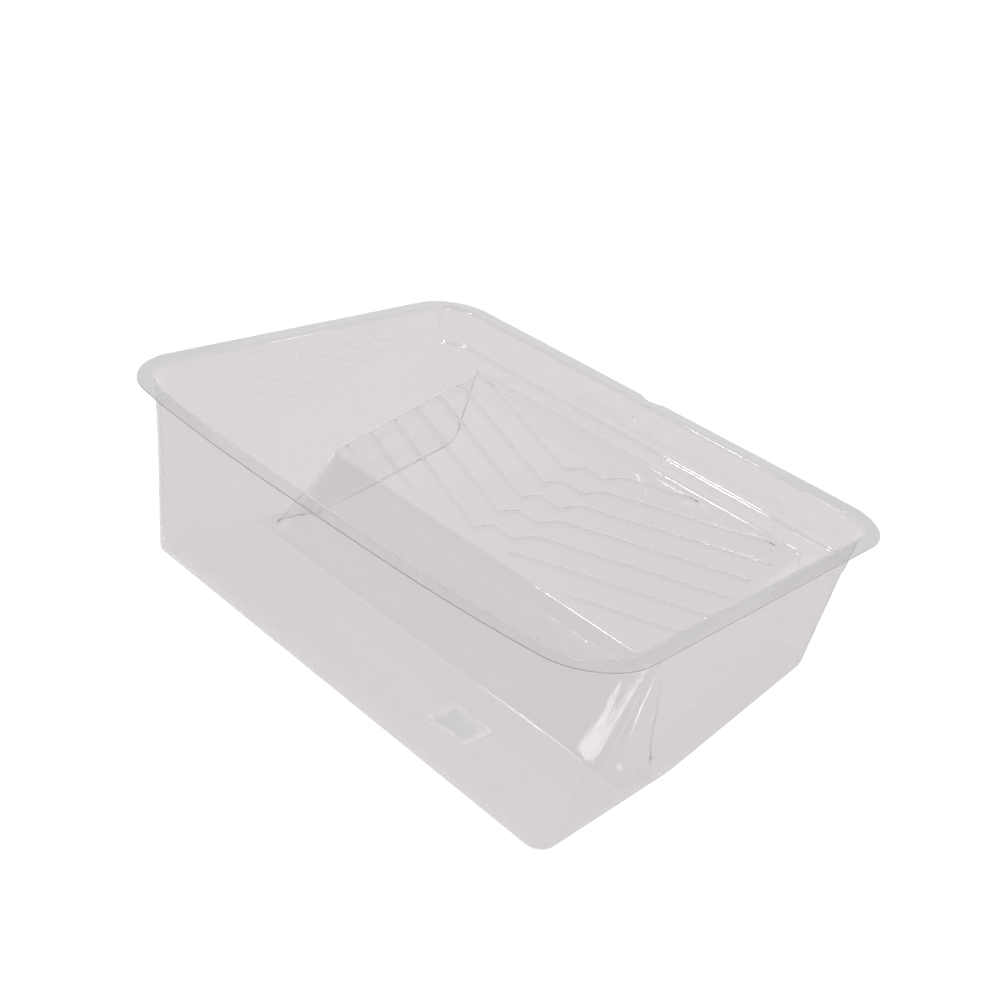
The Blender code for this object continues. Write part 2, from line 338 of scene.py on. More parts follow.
@dataclass(frozen=True)
class RibPattern:
    """Stepped chevron ribs raised from the ramp, each with a short bar in the middle and two rising arms.

    Attributes:
        pitch: Distance between ribs.
        first_y: Middle bar of the lowest whole rib.
        orders: The ribs, counted from that one.
        bar: Half the middle bar.
        step_run: Length of the step beside the bar.
        arm_slope: Rise of the arms for each metre outwards.
        reach: Half the ribs' length.
        low_y: Where the ribs start, at the ramp's front.
        high_y: Where they end, at its back.
        half: Half a rib's width.
        rise: Height of a rib.
        bend_soft: Half the length over which a bend is rounded.
    """

    pitch: float = 0.0219
    first_y: float = 0.168
    orders: tuple[int, ...] = tuple(range(-2, 5))
    bar: float = 0.0108
    step_run: float = 0.0057
    arm_slope: float = 0.34
    reach: float = 0.1432
    low_y: float = 0.157
    high_y: float = 0.2835
    half: float = 0.0031
    rise: float = 0.0009
    bend_soft: float = 0.0022

    @property
    def drawn_orders(self) -> range:
        """Rib rows that a grid needs to cover the whole ramp, with spare ones for the arms' slope."""
        spare_in_front, spare_behind = 4, 1
        return range(self.orders[0] - spare_in_front, self.orders[-1] + spare_behind + 1)

    @property
    def row_ends(self) -> Stretches:
        """Grid rows from a rib's middle line to halfway to the next, fine over its rounded sides."""
        return (0.0036, 0.0006), (0.0060, 0.0012), (self.pitch / 2, 0.0026)

    def column_ends(self, right: float) -> Stretches:
        """Grid columns from the ribs' middle to the panel's end, fine over the bends beside the bar."""
        bend = self.bar + self.step_run + self.bend_soft
        return (self.bar - self.bend_soft, 0.0024), (bend, 0.0007), (right, 0.0042)

    def offset(self, x: float) -> float:
        """Find how far a rib's middle line lies behind its centre bar.

        Args:
            x: Place along the well.

        Returns:
            The offset in y, with the bends rounded off.
        """
        def line(at: float) -> float:
            """Offset of the line with sharp bends."""
            beyond = abs(at) - self.bar
            if beyond <= 0:
                return 0.0
            step = min(beyond / self.step_run, 1.0) * self.pitch / 2
            return math.copysign(step, at) + self.arm_slope * max(0.0, beyond - self.step_run)

        shares = (-1.0, -0.5, 0.0, 0.5, 1.0)
        return sum(line(x + share * self.bend_soft) for share in shares) / len(shares)

    def lift(self, x: float, y: float) -> float:
        """Height of the ribs above the ramp at a plan point.

        Args:
            x: Place along the well.
            y: Place across the well.

        Returns:
            The height, nought between the ribs.
        """
        probe = 0.0005
        grade = (self.offset(x + probe) - self.offset(x - probe)) / (2 * probe)
        across_share = 1 / math.hypot(1, grade)
        along_share = abs(grade) * across_share
        nearest = round((y - self.offset(x) - self.first_y) / self.pitch)
        order = max(self.orders[0], min(self.orders[-1], nearest))
        across = (y - self.offset(x) - self.first_y - order * self.pitch) * across_share
        short = max(self.low_y - y, y - self.high_y, 0.0) * along_share
        steepest = 0.5
        wide = max(abs(x) - self.reach, 0.0) / max(across_share, steepest)
        away = math.hypot(across, wide) / self.half
        cut = 1.0 if self.low_y <= y <= self.high_y else smooth_step(1 - short / self.half)
        return self.rise * cut * (1 - smooth_step(away))


@dataclass(frozen=True)
class Relaxing:
    """How a thin sheet gives after forming: bow, twist, locating dent and ripples.

    Attributes:
        bow: How far the long front wall bows out at the rim.
        bow_power: How square the bow is in plan.
        bow_rise: How steeply the bow grows with height.
        dip: How far the rim's front left corner hangs down.
        dent_half: Half the length of the locating dent in the back rim.
        dent_depth: Depth of the dent.
        dent_drop: How far it reaches down the wall.
        dent_power: How peaked it is.
        broad: Size of the coarse ripples.
        broad_share: Their part in the rippling.
        broad_from: Where their noise is read from.
        fine: Size of the fine ripples.
        fine_share: Their part in the rippling.
        fine_from: Where their noise is read from.
        wall_ripple: Height of the walls' ripples.
        flange_ripple: Height of the flange's ripples.
        floor_fade: Height above the floor over which the ripples grow.
        rim_fade: Height below the rim over which they die out.
        ramp_fade: Height above the ramp over which they grow.
    """

    bow: float = 0.014
    bow_power: float = 3.0
    bow_rise: float = 1.5
    dip: float = 0.009
    dent_half: float = 0.0095
    dent_depth: float = 0.0042
    dent_drop: float = 0.020
    dent_power: float = 1.2
    broad: float = 0.060
    broad_share: float = 0.9
    broad_from: tuple[float, float, float] = (7.1, 3.3, 5.7)
    fine: float = 0.021
    fine_share: float = 0.35
    fine_from: tuple[float, float, float] = (1.9, 8.2, 4.4)
    wall_ripple: float = 0.0006
    flange_ripple: float = 0.0003
    floor_fade: float = 0.020
    rim_fade: float = 0.012
    ramp_fade: float = 0.010

    def settle(self, tub: Tub, place: Vector) -> Vector:
        """Bow the front wall, press in the locating dent and twist the rim.

        Args:
            tub: The tub that the point belongs to.
            place: Point of the formed sheet.

        Returns:
            Where the point comes to rest.
        """
        x, y, z = place
        rise = max(0.0, min(1.0, z / tub.height))
        share = max(0.0, 1 - abs(2 * x / tub.length) ** self.bow_power)
        nearness = max(0.0, 1 - 2 * y / tub.width)
        lift = max(0.0, 1 - (tub.height - z) / self.dent_drop)
        if nearness > 0:
            y -= self.bow * share * rise ** self.bow_rise * nearness
        elif abs(x) < self.dent_half and y > tub.width - 2 * tub.flange and lift > 0:
            y -= self.dent_depth * lift * math.cos(math.pi * x / (2 * self.dent_half)) ** self.dent_power
        leftness = max(0.0, min(1.0, 0.5 - x / tub.length))
        frontness = max(0.0, min(1.0, 1 - y / tub.width))
        z -= self.dip * leftness * frontness * rise ** 2
        return Vector((x, y, z))

    def ripple(self, place: Vector) -> float:
        """Gentle waviness of the sheet at a point, from -1 to 1."""
        coarse = noise.noise(place / self.broad + Vector(self.broad_from))
        small = noise.noise(place / self.fine + Vector(self.fine_from))
        return max(-1.0, min(1.0, self.broad_share * coarse + self.fine_share * small))

    def wall_push(self, tub: Tub, height: float, base: float, above_ramp: float) -> float:
        """Find how strongly a wall ripples at a height.

        Args:
            tub: The tub that the wall belongs to.
            height: The height.
            base: Height of the floor below.
            above_ramp: Height above the ramp's surface.

        Returns:
            The ripples' height there, nought at the floor, the rim and the ramp.
        """
        below_rim = tub.height - tub.rim_fillet - height
        fade = smooth_step((height - base) / self.floor_fade) * smooth_step(below_rim / self.rim_fade)
        return self.wall_ripple * fade * smooth_step(above_ramp / self.ramp_fade)


@dataclass(frozen=True)
class Lattice:
    """Plan grid whose border wraps round a rounded box, with the corner lines fanned round each corner."""

    columns: Sequence[float]
    rows: Sequence[float]
    corner_steps: int

    @property
    def across(self) -> int:
        """Number of cells along X."""
        return len(self.columns) - 1 + 2 * self.corner_steps

    @property
    def deep(self) -> int:
        """Number of cells along Y."""
        return len(self.rows) - 1 + 2 * self.corner_steps

    def inner_column(self, i: int) -> bool:
        """True for a line between the corners' lines, along X."""
        return self.corner_steps <= i <= self.across - self.corner_steps

    def inner_row(self, j: int) -> bool:
        """True for a line between the corners' lines, along Y."""
        return self.corner_steps <= j <= self.deep - self.corner_steps

    def border(self, i: int, j: int, box: RoundedBox) -> tuple[Vector, Vector]:
        """Find where a border point of the grid lies on an outline.

        Args:
            i: Column of the border point.
            j: Row of the border point.
            box: The outline.

        Returns:
            The plan position and the outward direction.
        """
        steps = self.corner_steps
        sign_x = -1 if i < self.across - i else 1
        sign_y = -1 if j < self.deep - j else 1
        near_x, near_y = min(i, self.across - i), min(j, self.deep - j)
        corner_x = sign_x * (box.half - box.radius)
        corner_y = box.front + box.radius if sign_y < 0 else box.back - box.radius
        if near_x < steps and near_y < steps:
            swing = math.radians(45) * (1 + (near_x - near_y) / steps)
            out = Vector((sign_x * math.cos(swing), sign_y * math.sin(swing)))
            return Vector((corner_x, corner_y)) + out * box.radius, out
        if near_y == 0:
            limit = box.half - box.radius
            x = corner_x if near_x == steps else max(-limit, min(limit, self.columns[i - steps]))
            return Vector((x, box.front if sign_y < 0 else box.back)), Vector((0, sign_y))
        low, high = box.front + box.radius, box.back - box.radius
        y = corner_y if near_y == steps else max(low, min(high, self.rows[j - steps]))
        return Vector((sign_x * box.half, y)), Vector((sign_x, 0))


@dataclass
class LinerShell:
    """The formed sheet itself.

    Attributes:
        tub: Sizes of the well and rim.
        ramp: Sizes of the ramp.
        ribs: The ribs on the ramp.
        relaxing: How the sheet gives after forming.
        shift_y: Distance from the front rim's chord to the frame's origin.
        corner_steps: Grid cells on half a corner.
        column_ends: End and spacing of each stretch of grid columns, from the middle outwards, fine round
            the ramp's flanks.
        row_start: The first grid row.
        row_ends: End and spacing of each stretch of rows, fine round the ramp's foot and front edge.
        ring_counts: Rings of points in each zone of the wall and rim.
        level_tolerance: Difference in height within which a cell counts as flat.
        panel_gap: Plain strip between the ribbed panel and the cells round it.
        name: Name of the piece.
        lattice: The grid.
        rings: Zone of each ring, and its share of the way through the zone.
    """

    tub: Tub
    ramp: Ramp
    ribs: RibPattern
    relaxing: Relaxing
    shift_y: float
    corner_steps: int = 8
    column_ends: Stretches = (
        (0.1385, 0.0047), (0.1445, 0.0010), (0.1500, 0.0005), (0.1540, 0.0008), (0.1590, 0.0014),
        (0.1650, 0.0030),
    )
    row_start: float = 0.036
    row_ends: Stretches = (
        (0.1000, 0.0052), (0.1120, 0.0011), (0.1425, 0.0038), (0.1455, 0.0008), (0.1490, 0.0004),
        (0.1570, 0.0016), (0.2715, 0.0055),
    )
    ring_counts: tuple[tuple[Zone, int], ...] = (
        (Zone.FILLET, 6), (Zone.LOWER_WALL, 18), (Zone.LEDGE, 4), (Zone.UPPER_WALL, 7), (Zone.RIM, 5),
        (Zone.FLANGE, 4),
    )
    level_tolerance: float = 1e-6
    panel_gap: float = 0.0012
    name: str = "clear_liner"
    lattice: Lattice = field(init=False)
    rings: list[tuple[Zone, float]] = field(init=False)

    def __post_init__(self) -> None:
        """Lay out the grid lines and the rings of the wall and rim."""
        rows = graded(self.row_start, self.row_ends)
        self.lattice = Lattice(mirrored(graded(0.0, self.column_ends)), rows, self.corner_steps)
        self.rings = [(Zone.FILLET, 0.0)]
        self.rings += [(zone, (k + 1) / count) for zone, count in self.ring_counts for k in range(count)]

    def ring_point(self, i: int, j: int, ring: int) -> Vector:
        """Find a point of the sheet's underside on one ring of the wall or rim.

        Args:
            i: Column of the border point.
            j: Row of the border point.
            ring: Number of the ring, from the floor outwards.

        Returns:
            The point.
        """
        zone, share = self.rings[ring]
        if zone is Zone.RIM:
            return self.rim_point(i, j, turned=share, spread=0.0)
        if zone is Zone.FLANGE:
            return self.rim_point(i, j, turned=1.0, spread=share)
        place, _ = self.lattice.border(i, j, self.tub.wall(0.0))
        base = self.tub.floor_height(place.y)
        if zone is Zone.FILLET:
            place, out = self.fillet_point(i, j, base, share)
        else:
            place, out = self.wall_point(i, j, base, zone, share)
        above_ramp = place.z - self.ramp.height(place.x, place.y)
        push = self.relaxing.wall_push(self.tub, place.z, base, above_ramp)
        point = self.relaxing.settle(self.tub, place) + out * (push * self.relaxing.ripple(place))
        point.z = smooth_max(point.z, self.ramp.height(point.x, point.y), self.ramp.blend)
        return point

    def rim_point(self, i: int, j: int, turned: float, spread: float) -> Vector:
        """Find a point of the bend under the rim, or of the flange beyond it.

        Args:
            i: Column of the border point.
            j: Row of the border point.
            turned: How much of the bend is done, from 0 to 1.
            spread: How far across the flat flange the point lies, from 0 to 1.

        Returns:
            The point of the relaxed sheet.
        """
        tub = self.tub
        turn = math.radians(90) * turned
        width = (tub.flange - tub.rim_fillet) * spread
        box = tub.wall(tub.height).grown(tub.rim_fillet * (1 - math.cos(turn)) + width)
        place, _ = self.lattice.border(i, j, box)
        height = tub.height - tub.rim_fillet + tub.rim_fillet * math.sin(turn)
        point = self.relaxing.settle(tub, Vector((*place, height)))
        droop = abs(self.relaxing.ripple(point)) * self.relaxing.flange_ripple
        return point - Vector((0, 0, droop))

    def fillet_point(self, i: int, j: int, base: float, share: float) -> tuple[Vector, Vector]:
        """Find a formed point of the bend between floor and wall.

        Args:
            i: Column of the border point.
            j: Row of the border point.
            base: Height of the floor there.
            share: How much of the bend is done, from 0 to 1.

        Returns:
            The point before the sheet relaxes, and the outward direction.
        """
        tub = self.tub
        turn = tub.fillet_turn * share
        run = tub.fillet * (math.tan(tub.fillet_turn / 2) - math.sin(turn))
        place, out = self.lattice.border(i, j, tub.wall(base))
        place = place - out * run
        height = tub.floor_height(place.y) + tub.fillet * (1 - math.cos(turn))
        return Vector((*place, height)), Vector((*out, 0))

    def wall_point(self, i: int, j: int, base: float, zone: Zone, share: float) -> tuple[Vector, Vector]:
        """Find a formed point of the wall or of its ledge.

        Args:
            i: Column of the border point.
            j: Row of the border point.
            base: Height of the floor there.
            zone: Stretch of the wall.
            share: How far up that stretch the point lies, from 0 to 1.

        Returns:
            The point before the sheet relaxes, and the outward direction.
        """
        tub, lattice, ramp = self.tub, self.lattice, self.ramp
        foot, _ = lattice.border(i, j, tub.wall(0.0))
        foot, _ = lattice.border(i, j, tub.wall(max(base, ramp.height(foot.x, foot.y))))
        low = max(base + tub.fillet, ramp.height(foot.x, foot.y))
        start, end = {
            Zone.LOWER_WALL: (low, tub.ledge - tub.ledge_soft),
            Zone.LEDGE: (tub.ledge - tub.ledge_soft, tub.ledge + tub.ledge_soft),
            Zone.UPPER_WALL: (tub.ledge + tub.ledge_soft, tub.height - tub.rim_fillet),
        }[zone]
        height = start + share * (end - start)
        place, out = lattice.border(i, j, tub.wall(height))
        return Vector((*place, height)), Vector((*out, 0))

    def floor_point(self, i: int, j: int) -> Vector:
        """Find a point of the sheet's underside inside the walls.

        Args:
            i: Column of the point.
            j: Row of the point.

        Returns:
            The point.
        """
        lattice = self.lattice
        if i in (0, lattice.across) or j in (0, lattice.deep):
            return self.ring_point(i, j, 0)
        left, right = self.ring_point(0, j, 0), self.ring_point(lattice.across, j, 0)
        front, back = self.ring_point(i, 0, 0), self.ring_point(i, lattice.deep, 0)
        x = lattice.columns[i - self.corner_steps] if lattice.inner_column(i) else front.x
        y = lattice.rows[j - self.corner_steps] if lattice.inner_row(j) else left.y
        x = max(left.x, min(right.x, x))
        y = max(front.y, min(back.y, y))
        return Vector((x, y, self.plain_height(x, y)))

    def plain_height(self, x: float, y: float) -> float:
        """Height of the floor or ramp, without its ribs."""
        return smooth_max(self.tub.floor_height(y), self.ramp.height(x, y), self.ramp.blend)

    def on_steep_face(self, place: Vector) -> bool:
        """True on the face that falls from the ramp's front edge to the well floor, which takes the painted
        shade.
        """
        ramp = self.ramp
        outside, front_share = ramp.outside(place.x, place.y)
        return outside > 0 and front_share > ramp.least_front and ramp.foot_y < place.y

    def build_skin(self) -> bmesh.types.BMesh:
        """Build the sheet's underside: floor, ribbed panel, walls, rim and flange.

        Returns:
            The open surface, with its normals facing outwards and down.
        """
        lattice = self.lattice
        bm = bmesh.new()
        bmesh.ops.create_grid(bm, x_segments=lattice.across, y_segments=lattice.deep, size=1)
        column = bm.verts.layers.int.new("column")
        row = bm.verts.layers.int.new("row")
        for vert in bm.verts:
            vert[column] = round((vert.co.x + 1) / 2 * lattice.across)
            vert[row] = round((vert.co.y + 1) / 2 * lattice.deep)
            vert.co = self.floor_point(vert[column], vert[row])
        for face in bm.faces:
            # The steep front face takes a darker copy of the sheet: painted shade.
            if self.on_steep_face(face.calc_center_median()):
                face.material_index = Stuff.STEEP_FACE
        edge = [e for e in bm.edges if e.is_boundary]
        for ring in range(1, len(self.rings)):
            grown = bmesh.ops.extrude_edge_only(bm, edges=edge)["geom"]
            verts = {g for g in grown if isinstance(g, bmesh.types.BMVert)}
            for vert in verts:
                vert.co = self.ring_point(vert[column], vert[row], ring)
            edge = [g for g in grown if isinstance(g, bmesh.types.BMEdge)
                    and g.verts[0] in verts and g.verts[1] in verts]
            # Rim and flange take a darker copy of the sheet: painted shade on the rim band.
            stuff = Stuff.RIM if self.rings[ring][0] in (Zone.RIM, Zone.FLANGE) else Stuff.SHEET
            for face in {f for e in edge for f in e.link_faces}:
                face.material_index = stuff
        self.add_ribbed_panel(bm)
        bmesh.ops.recalc_face_normals(bm, faces=bm.faces)
        bm.normal_update()
        if sum(f.normal.z * f.calc_area() for f in bm.faces) > 0:
            bmesh.ops.reverse_faces(bm, faces=bm.faces)
        bmesh.ops.translate(bm, verts=bm.verts, vec=(0, self.shift_y, 0))
        return bm

    def add_ribbed_panel(self, bm: bmesh.types.BMesh) -> None:
        """Swap the ramp's flat cells for a denser panel whose rows run along the ribs.

        Args:
            bm: The sheet, whose ramp is still plain.
        """
        ramp = self.ramp

        def flat(vert: bmesh.types.BMVert) -> bool:
            """True for a point on the ramp's flat top."""
            level = abs(vert.co.z - ramp.plane(vert.co.y)) < self.level_tolerance
            return level and ramp.drop(vert.co.x, vert.co.y) == 0.0

        cells = [f for f in bm.faces if all(flat(v) for v in f.verts)]
        gone = set(cells)
        frame = [e for f in cells for e in f.edges if sum(1 for g in e.link_faces if g in gone) == 1]
        corners = [v.co.copy() for e in frame for v in e.verts]
        bmesh.ops.delete(bm, geom=cells, context="FACES_ONLY")
        keep = set(frame)
        loose = [e for e in bm.edges if not e.link_faces and e not in keep]
        bmesh.ops.delete(bm, geom=loose, context="EDGES")
        right = max(c.x for c in corners) - self.panel_gap
        low = min(c.y for c in corners) + self.panel_gap
        high = max(c.y for c in corners) - self.panel_gap
        panel = self.ribbed_grid(bm, right, low, high)
        edges = in_order(e for v in panel for e in v.link_edges if e.is_boundary)
        bmesh.ops.triangle_fill(bm, edges=[e for e in frame if e.is_valid] + edges, use_beauty=True)
        # Faces on the ribs take a darker copy of the sheet: painted shade along the ribs.
        for face in {f for v in panel for f in v.link_faces}:
            middle = face.calc_center_median()
            if self.ribs.lift(middle.x, middle.y) > self.ribs.rise / 2:
                face.material_index = Stuff.RIBS
        for vert in panel:
            vert.co.z += self.ribs.lift(vert.co.x, vert.co.y)

    def ribbed_grid(
        self, bm: bmesh.types.BMesh, right: float, low: float, high: float,
    ) -> list[bmesh.types.BMVert]:
        """Lay a flat grid on the ramp with its rows along the ribs, cut to a rectangle.

        Args:
            bm: The sheet to add it to.
            right: Half the panel's length.
            low: The panel's front.
            high: The panel's back.

        Returns:
            The grid's points.
        """
        ribs = self.ribs
        columns = mirrored(graded(0.0, ribs.column_ends(right)))
        cell = mirrored(graded(0.0, ribs.row_ends))[:-1]
        rows = [ribs.first_y + order * ribs.pitch + y for order in ribs.drawn_orders for y in cell]
        across, deep = len(columns) - 1, len(rows) - 1
        made = bmesh.ops.create_grid(bm, x_segments=across, y_segments=deep, size=1)["verts"]
        for vert in made:
            x = columns[round((vert.co.x + 1) / 2 * across)]
            vert.co = (x, rows[round((vert.co.y + 1) / 2 * deep)] + ribs.offset(x), 0.0)
        kept = list(made)
        for edge_y, outward in ((low, -1), (high, 1)):
            geometry = kept + in_order(e for v in kept for e in v.link_edges)
            geometry += in_order(f for v in kept for f in v.link_faces)
            cut = bmesh.ops.bisect_plane(
                bm, geom=geometry, dist=self.level_tolerance, plane_co=(0, edge_y, 0),
                plane_no=(0, outward, 0), clear_outer=True,
            )
            fresh = [g for g in cut["geom"] + cut["geom_cut"] if isinstance(g, bmesh.types.BMVert)]
            kept = in_order(v for v in kept + fresh if v.is_valid)
        for vert in kept:
            vert.co.z = self.ramp.plane(vert.co.y)
        return kept

    def build(self, finishes: dict[Stuff, Finish]) -> bpy.types.Object:
        """Build the sheet with its thickness and dress it.

        The thickness also closes the sheet round the flange's edge, in the cut edge's finish.

        Args:
            finishes: What each stretch of the sheet is made of.

        Returns:
            The finished piece.
        """
        piece = mesh_object(self.name, self.build_skin(), [finishes[stuff].material() for stuff in Stuff])
        thickness = piece.modifiers.new("sheet thickness", "SOLIDIFY")
        thickness.thickness = self.tub.sheet
        thickness.offset = -1.0
        thickness.use_even_offset = False
        thickness.use_rim = True
        thickness.material_offset_rim = Stuff.CUT_EDGE - Stuff.RIM
        applied(piece, sharp_angle=50)
        return piece


@dataclass
class FloorLabel:
    """Small adhesive label lying on the well floor.

    Attributes:
        low: Its lowest corner.
        high: Its highest corner.
        corner: Corner radius in plan.
        name: Name of the piece.
    """

    low: Vector
    high: Vector
    corner: float = 0.0025
    name: str = "adhesive_label"

    def build(self, finish: Finish) -> bpy.types.Object:
        """Build the label from a slab with rounded corners.

        Args:
            finish: What the label is made of.

        Returns:
            The finished piece.
        """
        size, middle = self.high - self.low, (self.high + self.low) / 2
        bm = bmesh.new()
        bmesh.ops.create_cube(bm, size=1)
        bmesh.ops.scale(bm, verts=bm.verts, vec=size)
        upright = [e for e in bm.edges if abs(e.verts[0].co.z - e.verts[1].co.z) > size.z / 2]
        bmesh.ops.bevel(
            bm, geom=upright, offset=self.corner, segments=6, affect="EDGES", profile=0.5, material=-1,
        )
        bmesh.ops.translate(bm, verts=bm.verts, vec=middle)
        piece = mesh_object(self.name, bm, [finish.material()])
        piece.data.set_sharp_from_angle(angle=math.radians(40))
        return piece


def mesh_object(
    name: str, bm: bmesh.types.BMesh, materials: Sequence[bpy.types.Material],
) -> bpy.types.Object:
    """Turn a bmesh into a smooth-shaded object in the scene.

    Args:
        name: The object's name.
        bm: Its shape, which is freed.
        materials: Its materials, in slot order.

    Returns:
        The object, at the origin.
    """
    mesh = bpy.data.meshes.new(name)
    bm.to_mesh(mesh)
    bm.free()
    for material in materials:
        mesh.materials.append(material)
    mesh.shade_smooth()
    item = bpy.data.objects.new(name, mesh)
    bpy.context.scene.collection.objects.link(item)
    return item


def applied(piece: bpy.types.Object, sharp_angle: float) -> None:
    """Apply a piece's modifiers to its mesh and keep its corners crisp.

    Args:
        piece: The piece to change.
        sharp_angle: Angle in degrees past which an edge is shaded sharp.
    """
    graph = bpy.context.evaluated_depsgraph_get()
    mesh = bpy.data.meshes.new_from_object(piece.evaluated_get(graph))
    piece.modifiers.clear()
    piece.data = mesh
    mesh.shade_smooth()
    mesh.set_sharp_from_angle(angle=math.radians(sharp_angle))


# --- Finishes -----------------------------------------------------------------------------------------------


class Wire:
    """An output socket that adds Math nodes when it is used in arithmetic."""

    def __init__(self, board: Board, socket: bpy.types.NodeSocket) -> None:
        """Wrap a socket of a board."""
        self.board = board
        self.socket = socket

    def _math(self, operation: str, *values: Wire | float) -> Wire:
        """Add one Math node and wrap its result."""
        node = self.board.add("ShaderNodeMath", {"operation": operation}, dict(enumerate(values)))
        return Wire(self.board, node.outputs[0])

    def __add__(self, other: Wire | float) -> Wire:
        """Sum."""
        return self._math("ADD", self, other)

    __radd__ = __add__

    def __sub__(self, other: Wire | float) -> Wire:
        """Difference."""
        return self._math("SUBTRACT", self, other)

    def __rsub__(self, other: float) -> Wire:
        """Difference from a number."""
        return self._math("SUBTRACT", other, self)

    def __mul__(self, other: Wire | float) -> Wire:
        """Product."""
        return self._math("MULTIPLY", self, other)

    __rmul__ = __mul__

    def __abs__(self) -> Wire:
        """Size without its sign."""
        return self._math("ABSOLUTE", self)

    def __lt__(self, other: Wire | float) -> Wire:
        """One where this is smaller, else nought."""
        return self._math("LESS_THAN", self, other)

    def eased(self, low: float, high: float) -> Wire:
        """Nought below low, one above high, and eased between them."""
        node = self.board.add(
            "ShaderNodeMapRange", {"interpolation_type": "SMOOTHSTEP"},
            {"Value": self, "From Min": low, "From Max": high},
        )
        return Wire(self.board, node.outputs[0])


class Board:
    """The node tree of one material or world."""

    def __init__(self, owner: bpy.types.Material | bpy.types.World) -> None:
        """Clear the owner's node tree and keep it."""
        owner.use_nodes = True
        self.tree = owner.node_tree
        self.tree.nodes.clear()

    def add(self, kind: str, settings: dict | None = None, inputs: dict | None = None) -> bpy.types.Node:
        """Add one node.

        Args:
            kind: The node's type.
            settings: Its properties, which are set first.
            inputs: Values or wires for its inputs, by name or number.

        Returns:
            The node.
        """
        node = self.tree.nodes.new(kind)
        for key, value in (settings or {}).items():
            setattr(node, key, value)
        for key, value in (inputs or {}).items():
            if isinstance(value, Wire):
                self.tree.links.new(value.socket, node.inputs[key])
            else:
                node.inputs[key].default_value = value
        return node

    def wire(self, node: bpy.types.Node, output: str | int = 0) -> Wire:
        """Wrap one output of a node."""
        return Wire(self, node.outputs[output])

    def place(self) -> Wire:
        """Object coordinates."""
        return self.wire(self.add("ShaderNodeTexCoord"), "Object")

    def noise(self, at: Wire, scale: float, detail: float = 2.0, roughness: float = 0.5) -> Wire:
        """Noise value, about 0 to 1, at a number of features for each metre."""
        inputs = {"Vector": at, "Scale": scale, "Detail": detail, "Roughness": roughness}
        return self.wire(self.add("ShaderNodeTexNoise", {}, inputs), "Fac")

    def mixed(self, share: Wire | float, first: Colour | Wire, second: Colour | Wire) -> Wire:
        """Colour between two colours."""
        colours = [c if isinstance(c, Wire) else (*c, 1.0) for c in (first, second)]
        node = self.add("ShaderNodeMix", {"data_type": "RGBA"}, {0: share, 6: colours[0], 7: colours[1]})
        return self.wire(node, 2)

    def bump(self, height: Wire, distance: float, strength: float = 1.0) -> Wire:
        """Normal bent by a height."""
        inputs = {"Height": height, "Distance": distance, "Strength": strength}
        return self.wire(self.add("ShaderNodeBump", {}, inputs), "Normal")

    def surface(self, shader: Wire) -> None:
        """Use a shader as the material's or world's surface."""
        on_material = isinstance(self.tree.id_data, bpy.types.Material)
        kind = "ShaderNodeOutputMaterial" if on_material else "ShaderNodeOutputWorld"
        self.add(kind, {}, {"Surface": shader})


class Finish:
    """What a surface is made of."""

    name: str

    def material(self) -> bpy.types.Material:
        """Make the finish's material."""
        raise NotImplementedError


@dataclass(frozen=True)
class ClearPlastic(Finish):
    """Clear formed sheet: glossy, very slightly hazy and grey, and open to light from lamps.

    Attributes:
        name: Name of the material.
        tint: Colour of the first face that a ray meets.
        clear: Colour of every face behind it.
        lamp_light: Share of a lamp's light that passes a face.
        ior: Index of refraction.
        smoothest: Least roughness.
        haze: How much rougher the smears are.
        smear_scale: Features of the smears for each metre.
        smear_edge: Noise values between which a smear sets in.
        drawn_scale: Features of the thinner and thicker places for each metre.
        drawn_share: How strongly they change the tint.
        drawn_lift: How much paler the thinnest place is.
        peel: Height of the fine orange peel.
        peel_scale: Its features for each metre.
    """

    name: str
    tint: Colour
    clear: Colour = (0.988, 0.984, 0.986)
    lamp_light: Colour = (0.97, 0.97, 0.97)
    ior: float = 1.5
    smoothest: float = 0.02
    haze: float = 0.05
    smear_scale: float = 38.0
    smear_edge: Span = (0.45, 0.75)
    drawn_scale: float = 11.0
    drawn_share: float = 0.48
    drawn_lift: float = 1.04
    peel: float = 0.00003
    peel_scale: float = 160.0

    def material(self) -> bpy.types.Material:
        """Make the clear plastic.

        The tint is taken once, by the first face that a ray meets, so that walls behind each other stay as
        clear as one wall.

        Returns:
            The material.
        """
        made = bpy.data.materials.new(self.name)
        board = Board(made)
        at = board.place()
        path = board.add("ShaderNodeLightPath")
        first_face = board.wire(path, "Ray Depth") < 0.5
        drawn = board.noise(at, self.drawn_scale, 1.0)
        paler = tuple(min(1.0, c * self.drawn_lift) for c in self.tint)
        tone = board.mixed((drawn - 0.5) * self.drawn_share + 0.5, self.tint, paler)
        smear = board.noise(at, self.smear_scale, 3.0, 0.6).eased(*self.smear_edge)
        glass = board.add("ShaderNodeBsdfPrincipled", {}, {
            "Base Color": board.mixed(first_face, self.clear, tone),
            "Metallic": 0.0,
            "Roughness": smear * self.haze + self.smoothest,
            "IOR": self.ior,
            "Transmission Weight": 1.0,
            "Normal": board.bump(board.noise(at, self.peel_scale, 1.0), self.peel),
        })
        lamps_pass = board.add("ShaderNodeBsdfTransparent", {}, {"Color": (*self.lamp_light, 1.0)})
        mix = board.add("ShaderNodeMixShader", {}, {
            0: board.wire(path, "Is Shadow Ray"), 1: board.wire(glass), 2: board.wire(lamps_pass),
        })
        board.surface(board.wire(mix))
        return made


